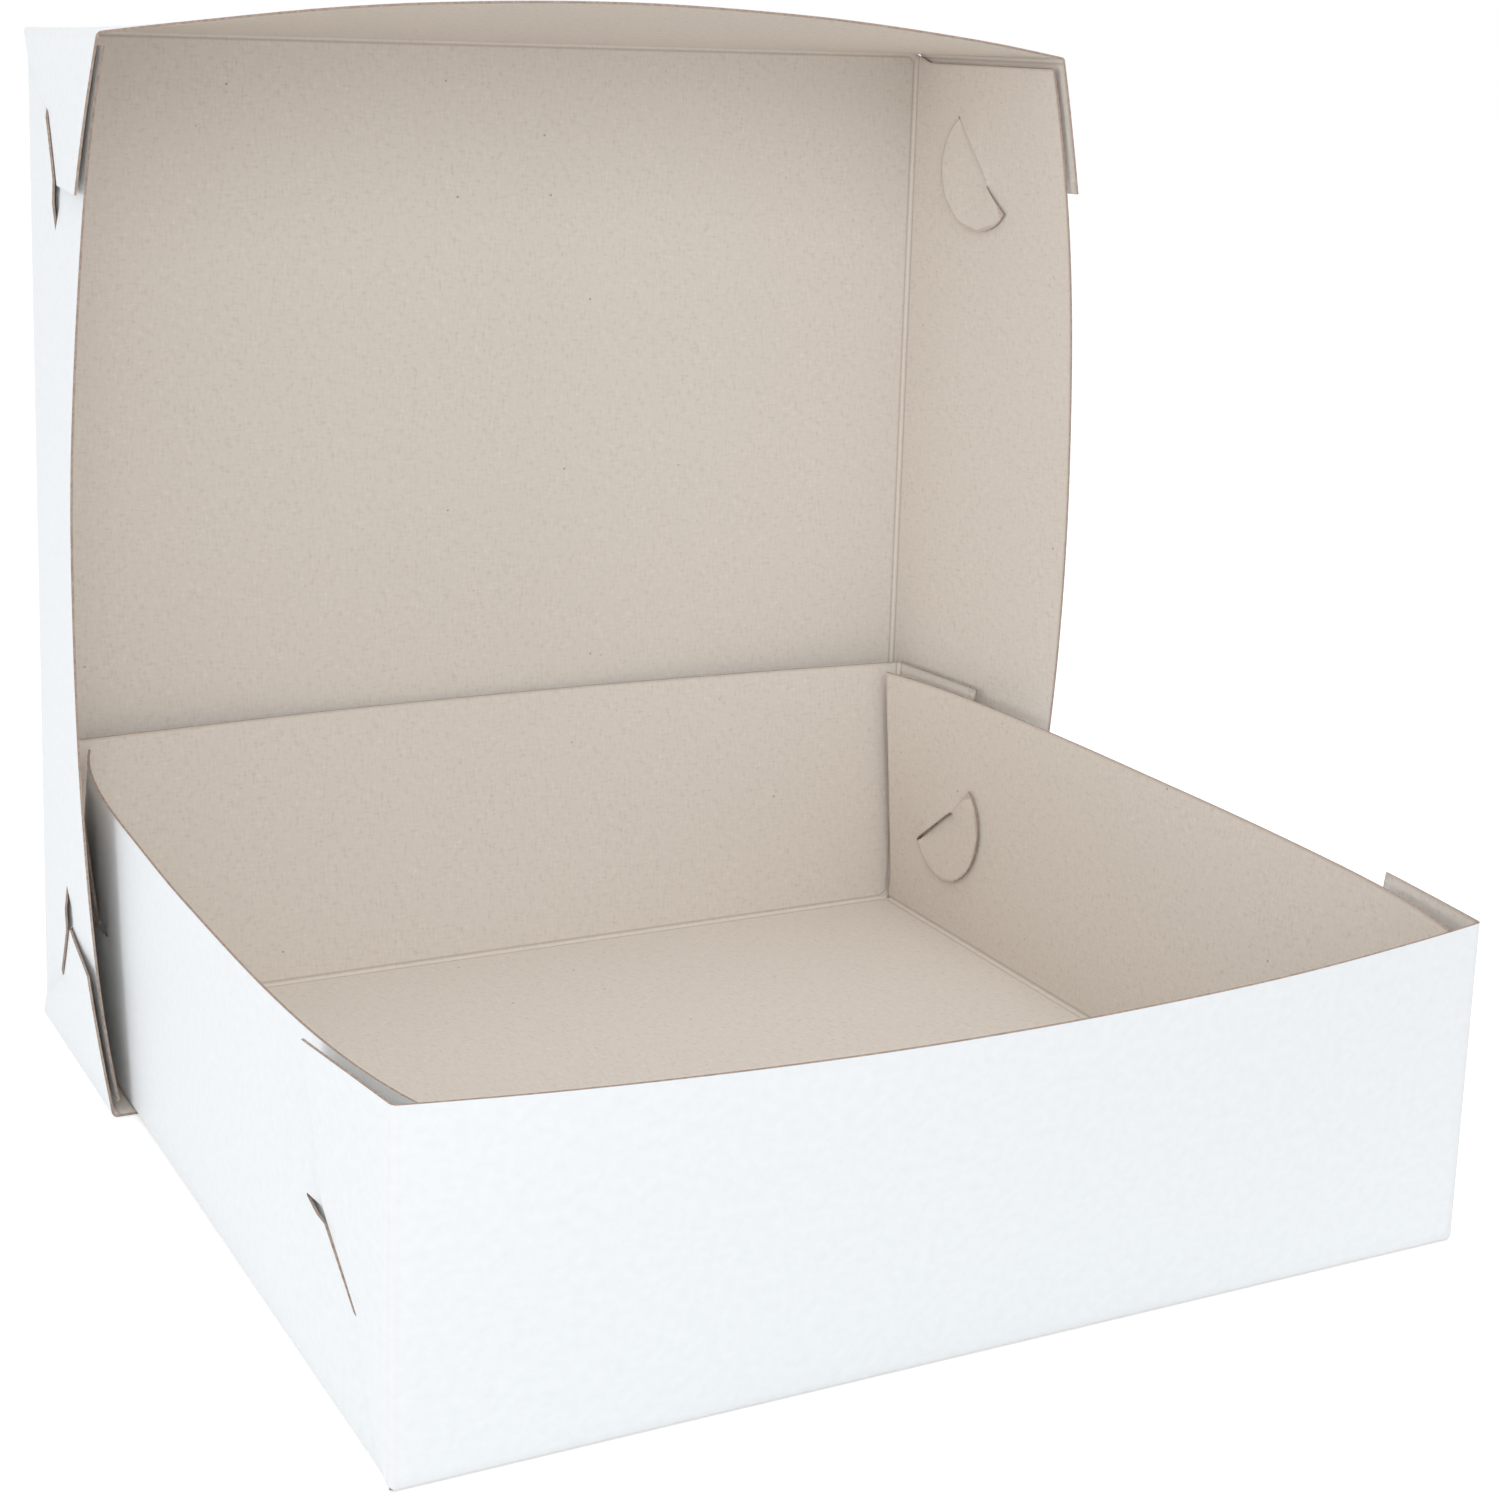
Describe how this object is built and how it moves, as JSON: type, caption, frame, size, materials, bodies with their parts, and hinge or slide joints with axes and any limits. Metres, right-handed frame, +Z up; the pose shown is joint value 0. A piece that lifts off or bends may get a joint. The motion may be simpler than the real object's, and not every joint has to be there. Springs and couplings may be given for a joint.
{
  "type": "cake box",
  "caption": "Folded board cake box in two pieces: an open square tray, and a lid of the same depth that stands on one of its skirts behind the tray.",
  "frame": {"origin": "on the ground, at the middle of the footprint of the tray and the standing lid together", "axes": "+Z up, +Y from the tray's front wall to the lid's upright panel, +X to the right as seen from the front"},
  "size_m": [0.282, 0.277, 0.2721],
  "materials": {
    "tray_board": "white clay-coated outside, bare warm grey-beige board inside",
    "lid_board": "white clay-coated outside, bare warm grey-beige board inside"
  },
  "bodies": {
    "root": {"tray": "tray_board", "lid": "lid_board"}
  },
  "joints": []
}
